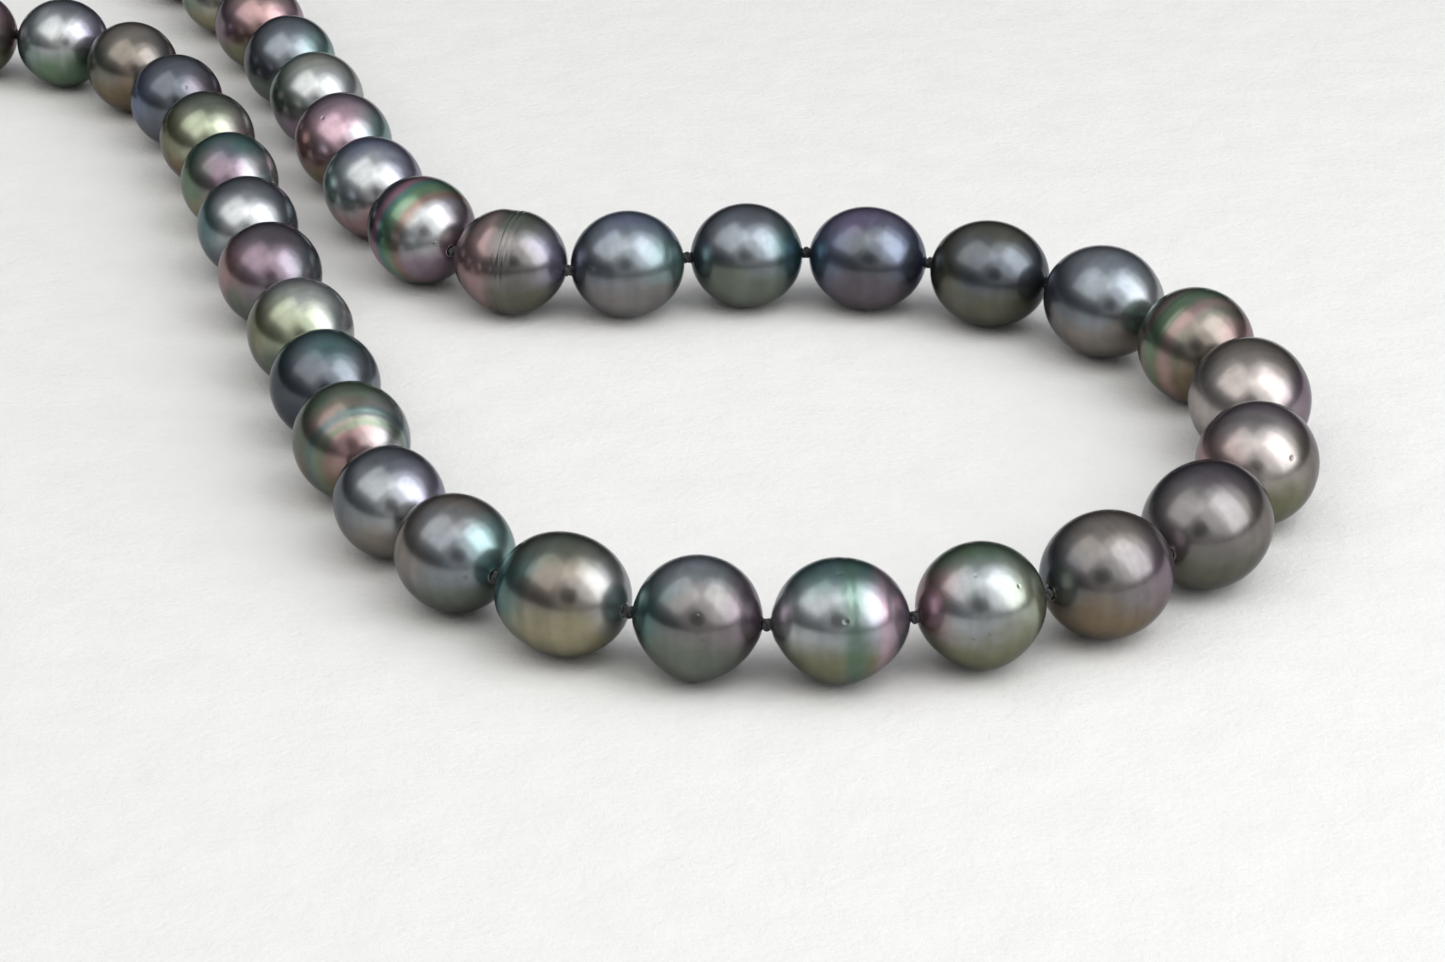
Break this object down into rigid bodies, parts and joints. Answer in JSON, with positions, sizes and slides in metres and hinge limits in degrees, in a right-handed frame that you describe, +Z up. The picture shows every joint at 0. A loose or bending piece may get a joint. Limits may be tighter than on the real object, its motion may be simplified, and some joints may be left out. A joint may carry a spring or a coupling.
{
  "type": "pearl necklace",
  "caption": "Graduated dark pearl necklace, knotted on black silk, laid out unfastened in a loop, with a claw clasp and a two-eye catch tab.",
  "frame": {"origin": "on the surface that the necklace lies on, under the middle of its box", "axes": "+Z up from the surface, +Y from the loop towards the strand's two ends, +X along the loop's front"},
  "size_m": [0.1722, 0.2096, 0.0122],
  "materials": {
    "nacre": "glossy",
    "silk": "matte",
    "white_gold": "polished",
    "gimp": "satin",
    "spring_steel": "satin"
  },
  "bodies": {
    "pearl_01": {"pearl_01": "nacre"},
    "pearl_02": {"pearl_02": "nacre"},
    "pearl_03": {"pearl_03": "nacre"},
    "pearl_04": {"pearl_04": "nacre"},
    "pearl_05": {"pearl_05": "nacre"},
    "pearl_06": {"pearl_06": "nacre"},
    "pearl_07": {"pearl_07": "nacre"},
    "pearl_08": {"pearl_08": "nacre"},
    "pearl_09": {"pearl_09": "nacre"},
    "pearl_10": {"pearl_10": "nacre"},
    "pearl_11": {"pearl_11": "nacre"},
    "pearl_12": {"pearl_12": "nacre"},
    "pearl_13": {"pearl_13": "nacre"},
    "pearl_14": {"pearl_14": "nacre"},
    "pearl_15": {"pearl_15": "nacre"},
    "pearl_16": {"pearl_16": "nacre"},
    "pearl_17": {"pearl_17": "nacre"},
    "pearl_18": {"pearl_18": "nacre"},
    "pearl_19": {"pearl_19": "nacre"},
    "pearl_20": {"pearl_20": "nacre"},
    "pearl_21": {"pearl_21": "nacre"},
    "pearl_22": {"pearl_22": "nacre"},
    "pearl_23": {"pearl_23": "nacre"},
    "pearl_24": {"pearl_24": "nacre"},
    "pearl_25": {"pearl_25": "nacre"},
    "pearl_26": {"pearl_26": "nacre"},
    "pearl_27": {"pearl_27": "nacre"},
    "pearl_28": {"pearl_28": "nacre"},
    "pearl_29": {"pearl_29": "nacre"},
    "pearl_30": {"pearl_30": "nacre"},
    "pearl_31": {"pearl_31": "nacre"},
    "pearl_32": {"pearl_32": "nacre"},
    "pearl_33": {"pearl_33": "nacre"},
    "pearl_34": {"pearl_34": "nacre"},
    "pearl_35": {"pearl_35": "nacre"},
    "pearl_36": {"pearl_36": "nacre"},
    "pearl_37": {"pearl_37": "nacre"},
    "pearl_38": {"pearl_38": "nacre"},
    "pearl_39": {"pearl_39": "nacre"},
    "tab_loop": {"gimp_loop_tab_end": "gimp"},
    "tab": {"catch_tab": "white_gold"},
    "claw_loop": {"gimp_loop_claw_end": "gimp"},
    "clasp": {"clasp_body": "white_gold", "clasp_pin": "spring_steel", "clasp_spring": "spring_steel"},
    "lever": {"clasp_lever": "white_gold"}
  },
  "joints": [
    {"name": "knot_01_sideways", "type": "hinge", "parent": "pearl_02", "child": "pearl_01", "pos_m": [-0.06499, 0.04115, 0.00504], "axis": [0, 0, 1], "range_deg": [-30, 16]},
    {"name": "knot_02_lift", "type": "hinge", "parent": "pearl_03", "child": "pearl_02", "pos_m": [-0.05387, 0.04103, 0.0051], "axis": [-0.2346, -0.9721, 0], "range_deg": [-25, 25]},
    {"name": "knot_03_sideways", "type": "hinge", "parent": "pearl_04", "child": "pearl_03", "pos_m": [-0.04329, 0.03591, 0.00515], "axis": [0, 0, 1], "range_deg": [-20, 16]},
    {"name": "knot_04_lift", "type": "hinge", "parent": "pearl_05", "child": "pearl_04", "pos_m": [-0.0361, 0.02647, 0.00521], "axis": [0.8515, 0.5243, 0], "range_deg": [-30, 30]},
    {"name": "knot_05_sideways", "type": "hinge", "parent": "pearl_06", "child": "pearl_05", "pos_m": [-0.03113, 0.01615, 0.00526], "axis": [0, 0, 1], "range_deg": [0, 35]},
    {"name": "knot_06_lift", "type": "hinge", "parent": "pearl_07", "child": "pearl_06", "pos_m": [-0.02704, 0.00477, 0.00532], "axis": [-0.9563, -0.2925, 0], "range_deg": [-30, 30]},
    {"name": "knot_07_sideways", "type": "hinge", "parent": "pearl_08", "child": "pearl_07", "pos_m": [-0.02402, -0.00707, 0.00537], "axis": [0, 0, 1], "range_deg": [0, 35]},
    {"name": "knot_08_lift", "type": "hinge", "parent": "pearl_09", "child": "pearl_08", "pos_m": [-0.02096, -0.01902, 0.00543], "axis": [0.9611, 0.276, 0], "range_deg": [-30, 30]},
    {"name": "knot_09_sideways", "type": "hinge", "parent": "pearl_10", "child": "pearl_09", "pos_m": [-0.01718, -0.03089, 0.00548], "axis": [0, 0, 1], "range_deg": [0, 35]},
    {"name": "knot_10_lift", "type": "hinge", "parent": "pearl_11", "child": "pearl_10", "pos_m": [-0.01298, -0.04475, 0.00554], "axis": [-0.9621, -0.2727, 0], "range_deg": [-30, 30]},
    {"name": "knot_11_sideways", "type": "hinge", "parent": "pearl_12", "child": "pearl_11", "pos_m": [-0.00978, -0.05702, 0.00567], "axis": [0, 0, 1], "range_deg": [0, 35]},
    {"name": "knot_12_lift", "type": "hinge", "parent": "pearl_13", "child": "pearl_12", "pos_m": [-0.00599, -0.0696, 0.00557], "axis": [0.9363, 0.3511, 0], "range_deg": [-30, 30]},
    {"name": "knot_13_sideways", "type": "hinge", "parent": "pearl_14", "child": "pearl_13", "pos_m": [-0.00088, -0.08076, 0.00548], "axis": [0, 0, 1], "range_deg": [0, 35]},
    {"name": "knot_14_lift", "type": "hinge", "parent": "pearl_15", "child": "pearl_14", "pos_m": [0.00743, -0.09039, 0.00568], "axis": [-0.6237, -0.7817, 0], "range_deg": [-30, 30]},
    {"name": "knot_15_sideways", "type": "hinge", "parent": "pearl_16", "child": "pearl_15", "pos_m": [0.01961, -0.09711, 0.00581], "axis": [0, 0, 1], "range_deg": [0, 35]},
    {"name": "knot_16_lift", "type": "hinge", "parent": "pearl_17", "child": "pearl_16", "pos_m": [0.03207, -0.09952, 0.00587], "axis": [0.0451, 0.999, 0], "range_deg": [-30, 30]},
    {"name": "knot_17_sideways", "type": "hinge", "parent": "pearl_18", "child": "pearl_17", "pos_m": [0.04541, -0.09827, 0.00592], "axis": [0, 0, 1], "range_deg": [0, 35]},
    {"name": "knot_18_lift", "type": "hinge", "parent": "pearl_19", "child": "pearl_18", "pos_m": [0.05765, -0.09414, 0.00598], "axis": [0.4354, -0.9002, 0], "range_deg": [-30, 30]},
    {"name": "knot_19_sideways", "type": "hinge", "parent": "pearl_20", "child": "pearl_19", "pos_m": [0.06913, -0.0868, 0.00603], "axis": [0, 0, 1], "range_deg": [0, 35]},
    {"name": "knot_20_lift", "type": "hinge", "parent": "pearl_20", "child": "pearl_21", "pos_m": [0.07778, -0.07511, 0.00603], "axis": [0.9025, -0.4306, 0], "range_deg": [-30, 30]},
    {"name": "knot_21_sideways", "type": "hinge", "parent": "pearl_21", "child": "pearl_22", "pos_m": [0.08102, -0.06188, 0.00605], "axis": [0, 0, -1], "range_deg": [0, 35]},
    {"name": "knot_22_lift", "type": "hinge", "parent": "pearl_22", "child": "pearl_23", "pos_m": [0.07903, -0.04819, 0.006], "axis": [-0.9481, -0.318, 0], "range_deg": [-30, 30]},
    {"name": "knot_23_sideways", "type": "hinge", "parent": "pearl_23", "child": "pearl_24", "pos_m": [0.0727, -0.03706, 0.00587], "axis": [0, 0, -1], "range_deg": [0, 35]},
    {"name": "knot_24_lift", "type": "hinge", "parent": "pearl_24", "child": "pearl_25", "pos_m": [0.06211, -0.02784, 0.00571], "axis": [0.5384, 0.8427, 0], "range_deg": [-30, 30]},
    {"name": "knot_25_sideways", "type": "hinge", "parent": "pearl_25", "child": "pearl_26", "pos_m": [0.0498, -0.02243, 0.00552], "axis": [0, 0, -1], "range_deg": [0, 35]},
    {"name": "knot_26_lift", "type": "hinge", "parent": "pearl_26", "child": "pearl_27", "pos_m": [0.03689, -0.01982, 0.00549], "axis": [-0.0458, -0.9989, 0], "range_deg": [-30, 30]},
    {"name": "knot_27_sideways", "type": "hinge", "parent": "pearl_27", "child": "pearl_28", "pos_m": [0.02437, -0.02126, 0.00557], "axis": [0, 0, -1], "range_deg": [0, 35]},
    {"name": "knot_28_lift", "type": "hinge", "parent": "pearl_28", "child": "pearl_29", "pos_m": [0.01197, -0.02446, 0.00559], "axis": [0.0505, 0.9987, 0], "range_deg": [-20, 20]},
    {"name": "knot_29_sideways", "type": "hinge", "parent": "pearl_29", "child": "pearl_30", "pos_m": [-0.00014, -0.02002, 0.00566], "axis": [0, 0, -1], "range_deg": [0, 6]},
    {"name": "knot_30_lift", "type": "hinge", "parent": "pearl_30", "child": "pearl_31", "pos_m": [-0.00751, -0.00918, 0.00561], "axis": [-0.8915, -0.4531, 0], "range_deg": [-30, 30]},
    {"name": "knot_31_sideways", "type": "hinge", "parent": "pearl_31", "child": "pearl_32", "pos_m": [-0.01195, 0.00321, 0.00543], "axis": [0, 0, -1], "range_deg": [0, 35]},
    {"name": "knot_32_lift", "type": "hinge", "parent": "pearl_32", "child": "pearl_33", "pos_m": [-0.01587, 0.01564, 0.00537], "axis": [0.951, 0.3091, 0], "range_deg": [-30, 30]},
    {"name": "knot_33_sideways", "type": "hinge", "parent": "pearl_33", "child": "pearl_34", "pos_m": [-0.01976, 0.02722, 0.00532], "axis": [0, 0, -1], "range_deg": [0, 35]},
    {"name": "knot_34_lift", "type": "hinge", "parent": "pearl_34", "child": "pearl_35", "pos_m": [-0.02376, 0.03808, 0.00526], "axis": [-0.9278, -0.3732, 0], "range_deg": [-30, 30]},
    {"name": "knot_35_sideways", "type": "hinge", "parent": "pearl_35", "child": "pearl_36", "pos_m": [-0.02854, 0.04907, 0.00521], "axis": [0, 0, -1], "range_deg": [-15, 35]},
    {"name": "knot_36_lift", "type": "hinge", "parent": "pearl_36", "child": "pearl_37", "pos_m": [-0.03425, 0.06023, 0.00515], "axis": [0.8805, 0.474, 0], "range_deg": [-30, 30]},
    {"name": "knot_37_sideways", "type": "hinge", "parent": "pearl_37", "child": "pearl_38", "pos_m": [-0.0398, 0.06999, 0.0051], "axis": [0, 0, -1], "range_deg": [-30, 35]},
    {"name": "knot_38_lift", "type": "hinge", "parent": "pearl_38", "child": "pearl_39", "pos_m": [-0.04605, 0.0798, 0.00504], "axis": [-0.8247, -0.5655, 0], "range_deg": [-30, 30]},
    {"name": "tab_loop_lift", "type": "hinge", "parent": "pearl_01", "child": "tab_loop", "pos_m": [-0.07536, 0.03615, 0.00502], "axis": [-0.6488, 0.761, 0], "range_deg": [-15, 50]},
    {"name": "tab_swing", "type": "hinge", "parent": "tab_loop", "child": "tab", "pos_m": [-0.0797, 0.03245, 0.00152], "axis": [-0.102, -0.087, 0.991], "range_deg": [-60, 60]},
    {"name": "claw_loop_lift", "type": "hinge", "parent": "pearl_39", "child": "claw_loop", "pos_m": [-0.05288, 0.08906, 0.00502], "axis": [0.7802, 0.6255, 0], "range_deg": [-15, 50]},
    {"name": "clasp_swing", "type": "hinge", "parent": "claw_loop", "child": "clasp", "pos_m": [-0.05646, 0.09353, 0.00171], "axis": [0, 0, 1], "range_deg": [-60, 60]},
    {"name": "lever_open", "type": "hinge", "parent": "clasp", "child": "lever", "pos_m": [-0.05785, 0.0983, 0.00171], "axis": [0, 0, 1], "range_deg": [0, 25], "stiffness_Nm_per_rad": 0.002, "springref_deg": -17.19, "deforming": ["clasp_spring"]}
  ]
}
